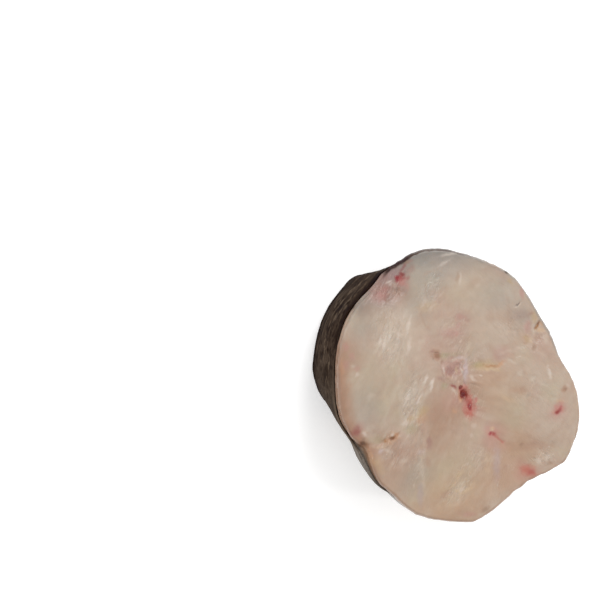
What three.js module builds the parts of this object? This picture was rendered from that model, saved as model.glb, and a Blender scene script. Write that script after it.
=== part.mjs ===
// A hake steak from the tail half of the fish: round flesh with a wavy belly side, a band of skin round it
// and the backbone through it. It lies on one cut face and shows the other.
// Millimetres. +Z goes up through the steak, +Y towards the fish's back, +X to the right seen from above.
// The origin is on the resting face, under the middle of the upper outline.
import * as THREE from "three";

// Driving dimensions
const faceHeight = 33; // the upper cut face at its edge, above the resting face
const edgeDrop = 1.5; // how far below the face the outline is widest
const edgeReach = 2.8; // how far in from the outline the face starts to round over
const flatLevel = 0; // the resting face
const flatInset = 2.4; // the resting face's edge, in from the foot outline
const footLevel = 1.6; // height at which the foot outline is reached
const sideBelly = 0.7; // how far the side swells between foot and edge
const skinThickness = 0.9;
const gap = 0.3; // clearance between neighbouring pieces
const skinTop = 30.8; // the skin is cut shorter than the flesh, because it draws back
const skinBottom = 2.4;

// Outline of the upper edge: bearing in degrees from +X towards the back, and radius.
const edgeRadius = [
  [0, 43.1], [10, 44.3], [22, 46.8], [34, 47.6], [46, 48.7], [58, 50.4], [68, 50.7], [80, 49.9],
  [86, 49.7], [92, 48.3], [110, 47.8], [140, 44.5], [158, 44], [178, 41.8], [196, 44.8], [206, 45.7],
  [218, 48.8], [236, 50.4], [245, 51.6], [254, 49.6], [266, 47.6], [273, 47.4], [282, 50.5],
  [291, 53.8], [303, 53.6], [318, 50.5], [328, 47], [337, 43.8], [350, 43.3],
];
// On the back and one flank the flesh has drawn in from the skin's cut edge, by this much at each bearing.
const skinShow = [
  [0, 0], [76, 0], [84, 0.1], [91, 1.1], [104, 1.3], [150, 0.9], [180, 1.2], [210, 0], [300, 0],
];
// The fish tapers towards its tail, so the foot lies inside the edge, by this much at each bearing.
const footInset = [
  [0, 3], [40, 3.5], [60, 4.8], [72, 6.4], [79, 6.4], [86, 2.8], [91, 0.3], [97, 0.5], [106, 0.8],
  [126, 0.8], [140, 0.4], [150, 2.3], [158, 4.7], [174, 5.4], [184, 5.9], [191, 7], [199, 5.2],
  [210, 3.2], [250, 2.2], [300, 3],
];

// Backbone: a round centrum with the neural arch on the back side and the haemal arch on the belly side.
const spine = { x: 3.5, y: 5, radius: 4.3 };
const arches = [
  { bearing: 105, reach: 6.2, spread: 14 }, // neural arch, round the spinal cord
  { bearing: 259, reach: 7.4, spread: 13 }, // haemal arch, round the blood vessel
];
const spineTop = 33.2; // the bone stands a little below the flesh round it
const spineBottom = 0.4;
const spineBevel = 0.8;
const centrumHollow = 1.2; // depth of the cone in the middle of the vertebra

// The four muscle blocks swell a little above the face; the two septa between them sink.
const blocks = [
  { x: -17.4, y: 20.5, width: 17, height: 1.7 },
  { x: 21.6, y: 22.5, width: 17, height: 1.5 },
  { x: -17.4, y: -19.5, width: 16, height: 1.6 },
  { x: 22.6, y: -19.5, width: 15, height: 1.3 },
];
const septumDepth = 0.7;
const septumWidth = 3.2;
const septumTilt = -0.09; // the side septum falls towards the right
const septumMiddle = 0.5; // height of the side septum, along Y, under the vertebra
const backNotch = { x: 2.6, y: 46.5, width: 5, depth: 2.2 }; // hollow at the base of the back fin

// Fineness
const around = 96; // steps round the outline
const faceRings = 7; // rings across the upper face
const edgeRings = 5; // rings over the rounded edge
const sideRings = 3; // rings down the side behind the skin
const skinRings = 4;

const radians = THREE.MathUtils.degToRad;

// Radius at a bearing on a closed smooth curve through [bearing, value] points.
function roundCurve(points, bearing) {
  const count = points.length;
  const at = (k) => {
    const lap = Math.floor(k / count);
    const [b, v] = points[k - lap * count];
    return [b + 360 * lap, v];
  };
  let i = count - 1;
  while (i > 0 && points[i][0] > bearing) i -= 1;
  const [[b0, v0], [b1, v1], [b2, v2], [b3, v3]] = [at(i - 1), at(i), at(i + 1), at(i + 2)];
  const span = b2 - b1;
  const t = (bearing - b1) / span;
  const m1 = ((v2 - v0) / (b2 - b0)) * span;
  const m2 = ((v3 - v1) / (b3 - b1)) * span;
  const t2 = t * t;
  const t3 = t2 * t;
  return (2 * t3 - 3 * t2 + 1) * v1 + (t3 - 2 * t2 + t) * m1 + (3 * t2 - 2 * t3) * v2 + (t3 - t2) * m2;
}

// Shift that puts the middle of the upper outline's box over the origin.
function outlineMiddle() {
  const box = new THREE.Box2();
  for (let b = 0; b < 360; b += 1) {
    const r = roundCurve(edgeRadius, b);
    box.expandByPoint(new THREE.Vector2(r * Math.cos(radians(b)), r * Math.sin(radians(b))));
  }
  return box.getCenter(new THREE.Vector2());
}
const middle = outlineMiddle();

// Point of the steak's side at a bearing and height, set in from the surface by inset.
function sidePoint(bearing, z, inset) {
  const up = THREE.MathUtils.clamp((z - footLevel) / (faceHeight - edgeDrop - footLevel), 0, 1);
  const swell = sideBelly * 4 * up * (1 - up);
  const radius = roundCurve(edgeRadius, bearing) - (1 - up) * roundCurve(footInset, bearing) + swell - inset;
  const x = radius * Math.cos(radians(bearing)) - middle.x;
  const y = radius * Math.sin(radians(bearing)) - middle.y;
  return new THREE.Vector3(x, y, z);
}

const bell = (distance, width) => Math.exp(-0.5 * (distance / width) ** 2);

// Height of the upper face above its plane at a point: blocks, septa and the notch at the back.
function faceRelief(x, y) {
  let height = 0;
  for (const b of blocks) height += b.height * bell(Math.hypot(x - b.x, y - b.y), b.width);
  const sideSeptum = bell(y - septumMiddle - septumTilt * (x - spine.x), septumWidth);
  const middleSeptum = bell(x - spine.x, septumWidth);
  height -= septumDepth * Math.max(sideSeptum, middleSeptum);
  return height - backNotch.depth * bell(Math.hypot(x - backNotch.x, y - backNotch.y), backNotch.width);
}

// Outline point of the backbone, or with a positive offset of the channel round it.
function spinePoint(bearing, z, offset, scale = 1) {
  let radius = spine.radius + offset;
  for (const a of arches) {
    const away = Math.abs(THREE.MathUtils.euclideanModulo(bearing - a.bearing + 180, 360) - 180);
    radius += a.reach * bell(away, a.spread);
  }
  radius *= scale;
  return new THREE.Vector3(
    spine.x + radius * Math.cos(radians(bearing)),
    spine.y + radius * Math.sin(radians(bearing)),
    z,
  );
}

// Closed body from rings of points: each ring is joined to the next, and the last to the first
// when the body has a hole. A body without a hole starts and ends in a single point.
function ringBody(rings, closed) {
  const positions = rings.flatMap((ring) => ring.flatMap((p) => [p.x, p.y, p.z]));
  const starts = [];
  let total = 0;
  for (const ring of rings) {
    starts.push(total);
    total += ring.length;
  }
  // the i-th and j-th corners of ring k, which for a single point are the same
  const cornersOf = (k, i, j) => {
    const step = rings[k].length > 1 ? 1 : 0;
    return [starts[k] + i * step, starts[k] + j * step];
  };
  const triangles = [];
  const joins = closed ? rings.length : rings.length - 1;
  for (let k = 0; k < joins; k += 1) {
    const next = (k + 1) % rings.length;
    const count = Math.max(rings[k].length, rings[next].length);
    for (let i = 0; i < count; i += 1) {
      const j = (i + 1) % count;
      const [a, b] = cornersOf(k, i, j);
      const [c, d] = cornersOf(next, i, j);
      if (c !== d) triangles.push(a, d, c);
      if (a !== b) triangles.push(a, b, d);
    }
  }
  const geometry = new THREE.BufferGeometry();
  geometry.setAttribute("position", new THREE.Float32BufferAttribute(positions, 3));
  geometry.setIndex(triangles);
  geometry.computeVertexNormals();
  return geometry;
}

const bearings = Array.from({ length: around }, (_, i) => (i * 360) / around);
const ringOf = (place) => bearings.map(place);

// Flesh: down the side, across the resting face, up the backbone's channel and out over the upper face.
function fleshGeometry() {
  const rings = [];
  const edgeLevel = faceHeight - edgeDrop;
  const recess = skinThickness + gap;
  const edgePoint = (b) => sidePoint(b, edgeLevel, roundCurve(skinShow, b));
  rings.push(ringOf(edgePoint));
  for (let k = 0; k <= sideRings; k += 1) {
    const z = THREE.MathUtils.lerp(skinTop + gap, skinBottom - gap, k / sideRings);
    rings.push(ringOf((b) => sidePoint(b, z, recess)));
  }
  rings.push(ringOf((b) => sidePoint(b, footLevel, 0)));
  rings.push(ringOf((b) => sidePoint(b, flatLevel, flatInset)));
  rings.push(ringOf((b) => spinePoint(b, flatLevel, gap)));
  const across = (b, share) => {
    const inner = spinePoint(b, faceHeight, gap);
    const outer = edgePoint(b);
    const reach = 1 - edgeReach / inner.distanceTo(outer);
    return inner.lerp(outer, share * reach).setZ(faceHeight);
  };
  for (let k = 0; k <= faceRings; k += 1) {
    rings.push(
      ringOf((b) => {
        const p = across(b, k / faceRings);
        return p.setZ(p.z + faceRelief(p.x, p.y));
      }),
    );
  }
  for (let k = 1; k < edgeRings; k += 1) {
    const turn = radians((90 * k) / edgeRings);
    rings.push(
      ringOf((b) => {
        const start = across(b, 1);
        const end = edgePoint(b);
        const p = start.clone().lerp(end, Math.sin(turn));
        const drop = (edgeDrop + faceRelief(start.x, start.y)) * Math.cos(turn);
        return p.setZ(edgeLevel + drop);
      }),
    );
  }
  return ringBody(rings.reverse(), true);
}

// Skin: a thin band round the side, seated in the flesh.
function skinGeometry() {
  const rings = [];
  for (let k = 0; k <= skinRings; k += 1) {
    const z = THREE.MathUtils.lerp(skinBottom, skinTop, k / skinRings);
    rings.push(ringOf((b) => sidePoint(b, z, 0)));
  }
  for (let k = skinRings; k >= 0; k -= 1) {
    const z = THREE.MathUtils.lerp(skinBottom, skinTop, k / skinRings);
    rings.push(ringOf((b) => sidePoint(b, z, skinThickness)));
  }
  return ringBody(rings, true);
}

// Backbone: its outline carried through the steak, with a cone sunk in each cut end of the centrum.
function backboneGeometry() {
  const centrumShare = 0.55;
  const point = (z) => [new THREE.Vector3(spine.x, spine.y, z)];
  const rings = [
    point(spineBottom + centrumHollow),
    ringOf((b) => spinePoint(b, spineBottom, 0, centrumShare)),
    ringOf((b) => spinePoint(b, spineBottom, -spineBevel)),
    ringOf((b) => spinePoint(b, spineBottom + spineBevel, 0)),
    ringOf((b) => spinePoint(b, spineTop - spineBevel, 0)),
    ringOf((b) => spinePoint(b, spineTop, -spineBevel)),
    ringOf((b) => spinePoint(b, spineTop, 0, centrumShare)),
    point(spineTop - centrumHollow),
  ];
  return ringBody(rings, false);
}

function piece(name, geometry, colour, roughness) {
  const material = new THREE.MeshStandardMaterial({ color: colour, roughness, metalness: 0 });
  const mesh = new THREE.Mesh(geometry, material);
  mesh.name = name;
  return mesh;
}

const steak = new THREE.Group();
steak.add(piece("flesh", fleshGeometry(), 0xbbaa96, 0.35));
steak.add(piece("skin", skinGeometry(), 0x4a443c, 0.3));
steak.add(piece("backbone", backboneGeometry(), 0xc4ab9e, 0.4));

export default steak;
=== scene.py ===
import math

import bpy
import numpy as np
from mathutils import Matrix, Vector


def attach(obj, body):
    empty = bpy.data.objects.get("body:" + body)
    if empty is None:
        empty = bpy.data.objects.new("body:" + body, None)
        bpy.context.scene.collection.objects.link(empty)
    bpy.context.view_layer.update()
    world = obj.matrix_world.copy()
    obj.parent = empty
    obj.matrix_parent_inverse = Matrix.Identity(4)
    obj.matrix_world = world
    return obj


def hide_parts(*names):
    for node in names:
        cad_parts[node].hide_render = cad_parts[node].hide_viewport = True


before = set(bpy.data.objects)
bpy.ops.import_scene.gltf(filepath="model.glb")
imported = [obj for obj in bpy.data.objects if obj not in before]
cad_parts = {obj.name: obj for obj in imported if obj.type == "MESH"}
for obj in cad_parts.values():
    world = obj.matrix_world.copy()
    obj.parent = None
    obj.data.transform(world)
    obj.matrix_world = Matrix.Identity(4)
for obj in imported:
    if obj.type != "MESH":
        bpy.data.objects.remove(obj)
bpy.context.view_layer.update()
mm = 0.001
print("frame loaded:", ", ".join(sorted(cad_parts)))

stage = {
    "floorTone": (252, 252, 252),
    "floorGlow": 0.22,          # lights the floor from below, as a light table does
    "toneShare": 0.77,          # base colour per display colour, for the light below
    "veil": 0.02,               # the part of a display colour that is the sky mirrored in the wet surface
    "darkest": 0.003,           # the least base colour
    "floorHalf": 3.0,           # m, half the floor's side
    "lights": {                 # watts, place and size in m
        "key": (3.3, (0.42, 0.30, 0.62), 0.45),
        "fill": (1.2, (-0.50, 0.30, 0.55), 0.7),
        "glint": (0.55, (0.35, -0.50, 0.52), 0.08)},
    "skyStrength": 0.80,
}

def placed(name, data):
    # a new object in the scene
    thing = bpy.data.objects.new(name, data)
    bpy.context.scene.collection.objects.link(thing)
    return thing


# the view, first of all, because everything is judged through it
view = {
    "lens": 130.0,              # mm...
    "sensor": 36.0,             # ...on so wide a sensor
    "distance": 800.0,          # mm from the camera to the middle of the upper face
    "aimPoint": (1.70, -0.52, 33.0),  # mm, the point of the face that is framed...
    "aimPixel": (457.0, 385.0),      # ...at this pixel
    "imageSize": 600.0,         # pixels each way
    "tilt": 20.0,               # degrees between the line of sight and the face's normal
    "lean": 160.0,              # degrees in the image, the way in which the camera leans over
    "backDirection": 125.0,     # degrees in the image, the way in which the fish's back points
    "clipStart": 0.01,          # m, nothing nearer than this is shown
}


def placeCamera(v):
    # The camera leans over the face in the plane that the lean gives, is rolled until +Y has its direction
    # in the image, and is then turned until the aim point falls on its pixel.
    tilt, lean, back = (math.radians(v[k]) for k in ("tilt", "lean", "backDirection"))
    towards = lean - back + math.pi / 2
    sideways = math.sin(tilt)
    normal = Vector((sideways * math.cos(towards), sideways * math.sin(towards), math.cos(tilt)))
    imageUp = Vector((math.cos(math.pi - back), math.sin(math.pi - back), 0))
    up = (imageUp - imageUp.dot(normal) * normal).normalized()
    right = up.cross(normal)
    turn = Matrix((right, up, normal)).transposed()
    seen = turn.transposed() @ Vector((0, 1, 0))
    turn = turn @ Matrix.Rotation(math.atan2(seen.y, seen.x) - back, 3, "Z")
    focal = v["lens"] / v["sensor"] * v["imageSize"]
    half = v["imageSize"] / 2
    ray = Vector((v["aimPixel"][0] - half, half - v["aimPixel"][1], -focal))
    turn = turn @ ray.rotation_difference(Vector((0, 0, -1))).to_matrix()
    data = bpy.data.cameras.new("camera")
    data.lens = v["lens"]
    data.sensor_width = v["sensor"]
    data.clip_start = v["clipStart"]
    camera = placed("camera", data)
    spot = (Vector(v["aimPoint"]) + normal * v["distance"]) * mm
    camera.matrix_world = Matrix.Translation(spot) @ turn.to_4x4()
    bpy.context.scene.camera = camera


placeCamera(view)
print("camera placed")


# shapes

latticeSize = 61                # random heights each way in the lattice behind cloud()
latticeShift = 17.3             # how far each octave's lattice lies off the one before
levelSlack = 0.02               # mm, corners as near as this to a level lie on it
sameBearing = 0.8               # degrees, corners of an outline no further apart are one place


def cloud(points, cell, seed, octaves=1):
    # Value noise from -1 to 1: random heights on a cubic lattice, eased between the eight corners round
    # each point. Each further octave has half the cell and half the height.
    total, reach = 0, 0
    for octave in range(octaves):
        lattice = np.random.default_rng(seed + octave).uniform(-1, 1, (latticeSize,) * 3)
        place = points * (2 ** octave / np.asarray(cell, float)) + latticeShift * (octave + 1)
        corner = np.floor(place).astype(int)
        part = place - corner
        part = part * part * (3 - 2 * part)
        for step in np.ndindex(2, 2, 2):
            share = np.prod(np.where(step, part, 1 - part), axis=-1)
            i, j, k = np.moveaxis((corner + step) % latticeSize, -1, 0)
            total = total + 0.5 ** octave * share * lattice[i, j, k]
        reach += 0.5 ** octave
    return total / reach


def bell(distance, width):
    # a round hill, 1 in the middle and 0.6 at one width
    return np.exp(-0.5 * (distance / width) ** 2)


def ease(low, high, value):
    # 0 below low and 1 above high, with no corner between; low may be the larger
    share = np.clip((value - low) / (high - low), 0, 1)
    return share * share * (3 - 2 * share)


def levelRing(node, level, middle=(0.0, 0.0)):
    # a node's outer outline on one level: bearings in degrees and radii in mm round a middle
    corners = np.array([corner.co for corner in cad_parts[node].data.vertices], float) / mm
    x, y = (corners[np.abs(corners[:, 2] - level) < levelSlack, :2] - middle).T
    bearing, radius = np.degrees(np.arctan2(y, x)) % 360, np.hypot(x, y)
    order = np.argsort(bearing)
    bearing, radius = bearing[order], radius[order]
    place = np.cumsum(np.diff(bearing, prepend=bearing[0]) > sameBearing)
    order = np.lexsort((-radius, place))
    first = np.unique(place[order], return_index=True)[1]
    return bearing[order][first], radius[order][first]


def roundCurve(ring, bearing):
    # a closed smooth curve through a ring's radii, of cubics that pass each with its neighbours' mean slope
    knots, values = ring
    near = np.searchsorted(knots, bearing % 360, side="right") - 1 + np.arange(-1, 3)[:, None]
    lap, near = np.divmod(near, len(knots))
    b0, b1, b2, b3 = knots[near] + lap * 360
    v0, v1, v2, v3 = values[near]
    t = (bearing % 360 - b1) / (b2 - b1)
    m1 = (v2 - v0) / (b2 - b0) * (b2 - b1)
    m2 = (v3 - v1) / (b3 - b1) * (b2 - b1)
    return ((2 * t**3 - 3 * t**2 + 1) * v1 + (t**3 - 2 * t**2 + t) * m1
            + (3 * t**2 - 2 * t**3) * v2 + (t**3 - t**2) * m2)


def alongAxes(points, x, y, turn):
    # coordinates of points round x, y, along and across a direction that is turned by so many degrees
    c, s = math.cos(math.radians(turn)), math.sin(math.radians(turn))
    u, v = points[..., 0] - x, points[..., 1] - y
    return u * c + v * s, v * c - u * s


def toSegment(points, start, end):
    # distance of points from the line between two places on the face
    (x0, y0), (x1, y1) = start, end
    dx, dy = x1 - x0, y1 - y0
    share = ((points[..., 0] - x0) * dx + (points[..., 1] - y0) * dy) / (dx * dx + dy * dy)
    share = np.clip(share, 0, 1)
    return np.hypot(points[..., 0] - x0 - share * dx, points[..., 1] - y0 - share * dy)


def gridMesh(name, rings, closed, attributes):
    # Mesh over rings of points, each joined to the next. A closed body joins the last ring to the first,
    # and an open one is shut by a fan round the middle of its first and of its last ring.
    count, around = rings.shape[:2]
    points = rings.reshape(-1, 3)
    ring = np.arange(count if closed else count - 1)[:, None]
    here, after = ring * around, (ring + 1) % count * around
    step = np.arange(around)
    side = (step + 1) % around
    faces = np.stack([here + step, here + side, after + side, after + step], -1).reshape(-1, 4).tolist()
    if not closed:
        last = (count - 1) * around
        for fan, pole in (((side, step), len(points)), ((last + step, last + side), len(points) + 1)):
            faces += np.stack([*fan, np.full(around, pole)], -1).tolist()
        points = np.concatenate([points, rings[:1].mean(1), rings[-1:].mean(1)])
    mesh = bpy.data.meshes.new(name)
    mesh.from_pydata((points * mm).tolist(), [], faces)
    mesh.validate()
    mesh.shade_smooth()
    for key, values in attributes.items():
        values = values.reshape(count, around)
        if not closed:
            values = np.append(values, [values[0].mean(), values[-1].mean()])
        attribute = mesh.attributes.new(key, "FLOAT", "POINT")
        attribute.data.foreach_set("value", values.ravel().astype(np.float32))
    print(name, "made:", len(mesh.polygons), "faces")
    return placed(name, mesh)


# finishes

def linearised(display):
    # display colours, 0 to 255, as linear ones
    share = np.clip(np.array(display) / 255, 0, 1)
    return np.where(share <= 0.04045, share / 12.92, ((share + 0.055) / 1.055) ** 2.4)


def paint(*display):
    # a display colour as the linear colour that sockets take
    return (*linearised(display), 1.0)


class Finish:
    # one material and short ways to add and join its nodes

    def __init__(self, name, **fixed):
        self.material = bpy.data.materials.new(name)
        self.material.use_nodes = True
        self.tree = self.material.node_tree
        self.tree.nodes.clear()
        self.shader = self.add("ShaderNodeBsdfPrincipled")
        output = self.add("ShaderNodeOutputMaterial")
        self.tree.links.new(self.shader.outputs[0], output.inputs[0])
        self.place = self.add("ShaderNodeTexCoord").outputs["Object"]
        self.feed(self.shader, {key.replace("_", " "): value for key, value in fixed.items()})

    def add(self, kind, **settings):
        node = self.tree.nodes.new(kind)
        for key, value in settings.items():
            setattr(node, key, value)
        return node

    def feed(self, node, values):
        # puts values on a node's inputs, or joins sockets to them, and gives the node's outputs
        for key, value in values.items():
            if isinstance(value, bpy.types.NodeSocket):
                self.tree.links.new(value, node.inputs[key])
            else:
                node.inputs[key].default_value = value
        return node.outputs

    def painted(self, name, kind="Fac"):
        # a value, or a colour, painted on the piece's points
        return self.add("ShaderNodeAttribute", attribute_name=name).outputs[kind]

    def noise(self, cell, detail=3.0, stretch=(1, 1, 1), turn=0.0, roughness=0.5, warp=0.0):
        # noise whose grain is about cell mm, drawn out by stretch after a turn in degrees about Z
        at = self.place
        if stretch != (1, 1, 1) or turn:
            mapping = self.add("ShaderNodeMapping", vector_type="TEXTURE")
            turned = {"Vector": at, "Rotation": (0, 0, math.radians(turn)), "Scale": stretch}
            at = self.feed(mapping, turned)[0]
        return self.feed(self.add("ShaderNodeTexNoise"), {
            "Vector": at, "Scale": 1 / (cell * mm), "Detail": detail, "Roughness": roughness,
            "Distortion": warp})["Fac"]

    def ranged(self, value, low, high, to=(0.0, 1.0)):
        # value between low and high, spread over another range and held there
        return self.feed(self.add("ShaderNodeMapRange"), {
            "Value": value, "From Min": low, "From Max": high, "To Min": to[0], "To Max": to[1]})[0]

    def math(self, operation, first, second=0.0):
        return self.feed(self.add("ShaderNodeMath", operation=operation), {0: first, 1: second})[0]

    def blend(self, share, first, second, mode="MIX"):
        mix = self.add("ShaderNodeMix", data_type="RGBA", blend_type=mode)
        return self.feed(mix, {0: share, 6: first, 7: second})[2]

    def bump(self, height, depth, **under):
        # depth in mm of the relief that height gives, over the relief given as Normal
        relief = {"Height": height, "Distance": depth * mm, "Strength": 1, **under}
        return self.feed(self.add("ShaderNodeBump"), relief)[0]

    def wear(self, piece):
        piece.data.materials.append(self.material)


# the steak's form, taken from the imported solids

steak = {
    "faceLevel": 33.0,          # mm, the upper cut face at its edge
    "edgeLevel": 31.5,          # where the outline is widest
    "footLevel": 1.6,
    "flatInset": 2.4,
    "skinLevels": (2.4, 9.5, 16.6, 23.7, 30.8),
    "spine": (3.5, 5.0),        # middle of the vertebra
    "markOrigin": (-0.20, 0.38),     # the places of marks on the face are measured from here
    "spineLevel": 1.2,          # a level at which the backbone has its full outline
    "backBearing": 86.0,        # degrees, the middle of the back seen from the steak's middle
}
meanRadius = 45                 # mm, about the steak's radius, for noise that runs round it
edgeRing = levelRing("flesh", steak["edgeLevel"])
footRing = levelRing("flesh", steak["footLevel"])
spineRing = levelRing("backbone", steak["spineLevel"], steak["spine"])
skinRings = [levelRing("skin", level) for level in steak["skinLevels"]]


def polar(radius, bearing, middle=(0.0, 0.0)):
    # points at a radius and bearing round a middle
    turn = np.radians(bearing)
    return np.stack([middle[0] + radius * np.cos(turn), middle[1] + radius * np.sin(turn)], -1)


def bearings(count):
    # so many bearings evenly round the steak
    return np.arange(count) * 360 / count


def raised(places, level):
    # points of the plan lifted to a level, one for all of them or one for each
    return np.concatenate([places, np.broadcast_to(level, places.shape[:-1])[..., None]], -1)


def awayFrom(bearing, middle):
    # degrees between two bearings
    return np.abs((bearing - middle + 180) % 360 - 180)


def between(bearing, start, full, fading, end):
    # 1 from the bearing full to the bearing fading, passing softly to 0 at start and end
    return ease(start, full, bearing) * ease(end, fading, bearing)


def wallRadius(bearing, level):
    # outer radius of the skin, between the rings that its solid has at five levels
    radii = np.array([roundCurve(ring, bearing) for ring in skinRings])
    place = np.interp(level, steak["skinLevels"], np.arange(len(radii)))
    low = np.minimum(place.astype(int), len(radii) - 2)
    low, part = np.broadcast_to(low, bearing.shape), place - low
    column = np.arange(len(bearing))
    return radii[low, column] * (1 - part) + radii[low + 1, column] * part


# the cut face: its form and its colours, shared by the flesh and the backbone

face = {
    "blocks": [                 # the four muscle blocks: middle x, y, width and height of the swell
        (-17.4, 20.5, 17, 1.7), (21.6, 22.5, 17, 1.5), (-17.4, -19.5, 16, 1.6), (22.6, -19.5, 15, 1.3)],
    "septumDepth": 0.7,
    "septumWidth": 3.2,
    "septumTilt": -0.09,
    "septumMiddle": 0.5,
    "backNotch": (2.6, 46.5, 5, 2.2),    # x, y, width, depth of the hollow at the base of the back fin
    "fibres": [                 # the way in which fibres run at some places of the face: x, y, turn
        (-14, 4, 30), (-12, 30, 33), (4, 42, 50), (24, 30, -4), (38, 8, 60), (28, -8, 105), (27, -32, 20),
        (12, -43, 12), (-18, -34, 14), (-28, -12, 26), (6, 16, -10), (10, -22, -50)],
    "fibreReach": 9.0,          # mm over which one way passes into the next
    "strokeHeight": 0.06,       # mm, where the cut is smooth
    "tornHeight": 0.5,          # mm, where it is torn
    "lumpHeight": 0.32,
    "flakeStep": 4.6,           # mm between the thin walls inside a muscle block
    "flakeDepth": 0.05,
    "markGrow": 0.3,            # mm by which a mark is painted longer and wider than it is listed
    "markRagged": 0.45,         # how uneven its rim is, as a share of its size...
    "markRim": (1.75, 0.25),    # ...and where the rim fades out and is full
    "tornRim": 0.7,             # the share of a torn patch over which its rim fades...
    "washRim": 0.85,            # ...and of a broad tone
    "torn": [                   # rough wet patches: x, y, length, width, turn, strength
        (-14, 6.5, 17, 8, 50, 1), (-9, 29, 20, 11, 55, 0.75), (-8, 25, 5, 3, 70, 1),
        (-19, -31, 15, 8, 20, 0.8), (-8, -27, 9, 7, 20, 0.5), (12, -43, 9, 5, -25, 0.9),
        (3, 45, 13, 8, 0, 1), (14, 34, 14, 8, 30, 0.55), (13, 15, 12, 9, 60, 0.5),
        (-20, -2, 18, 8, 60, 0.7), (-32, -4, 14, 9, 60, 0.7), (3, -8, 9, 14, 0, 0.7),
        (37, -4, 9, 12, 80, 0.35), (30, 6, 10, 8, 0, 0.3), (-28, -14, 6, 18, -38, 0.5),
        (24, -22, 14, 12, 0, 0.35), (8, 4, 16, 14, 0, 0.6)],
    "grooves": [                # start, end, width, depth; a negative depth stands up
        ((-26.6, -1.5), (-30, -1), 0.5, 0.4), ((-30, -1), (-32.6, -0.8), 0.7, 0.3),
        ((-32.8, -0.7), (-37, 1.5), 0.8, 0.3), ((-27.6, -1.9), (-29.8, -2.2), 0.6, -0.3),
        ((11.2, 1.7), (20.8, -6.4), 1.3, 0.18),
        ((42.4, -1), (38.4, -2.8), 0.4, 0.7), ((38, -3.2), (36.8, -6), 0.7, 0.25),
        ((8.8, -34.2), (17.8, -42.8), 2.2, 0.6), ((2, -23.4), (3.5, -29.2), 0.5, 0.35),
        ((-17.5, -5.6), (-25.1, -14), 0.8, -0.3), ((-25.1, -14), (-31.1, -21.9), 0.8, -0.3),
        ((-0.8, 40.5), (3.4, 41.5), 0.5, 0.45), ((3.4, 41.5), (6, 38.8), 0.6, 0.3),
        ((-40.3, -2.1), (-40.4, -9.2), 0.8, -0.35), ((9.6, 4.8), (6, -1.8), 0.8, -0.35),
        ((37.1, 9.4), (39, 9.6), 0.35, 0.35), ((28.6, 4.4), (32, 1.3), 0.5, 0.2),
        ((-38.2, 4.6), (-40.2, 2.2), 0.5, 0.6)],
}

tones = {                       # display colours of the raw fish
    "beige": (191, 170, 152), "sand": (188, 165, 140), "moss": (182, 168, 142), "rose": (187, 156, 140),
    "tan": (183, 149, 124), "umber": (173, 140, 120), "ash": (164, 152, 140), "slate": (142, 136, 129),
    # white: pale strands, and the colour of painted wet glints
    "pearl": (206, 190, 173), "whiteAndGlint": (222, 208, 196), "peach": (170, 136, 112), "bark": (150, 118, 96),
    "honey": (186, 158, 116), "brown": (112, 72, 48), "black": (54, 35, 29), "rust": (168, 116, 74),
    "blush": (188, 138, 130), "pink": (196, 122, 112), "salmon": (188, 106, 92), "lilac": (176, 158, 162),
    "crimson": (152, 44, 50), "wine": (136, 52, 50), "blood": (106, 10, 2), "mauve": (160, 122, 112),
    "olive": (170, 160, 128), "mist": (164, 159, 150), "fawn": (206, 178, 146), "peel": (200, 152, 118),
    "lavender": (204, 186, 186), "shade": (142, 127, 116), "clay": (164, 120, 96),
    "threadGlint": (224, 206, 188),
}

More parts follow.
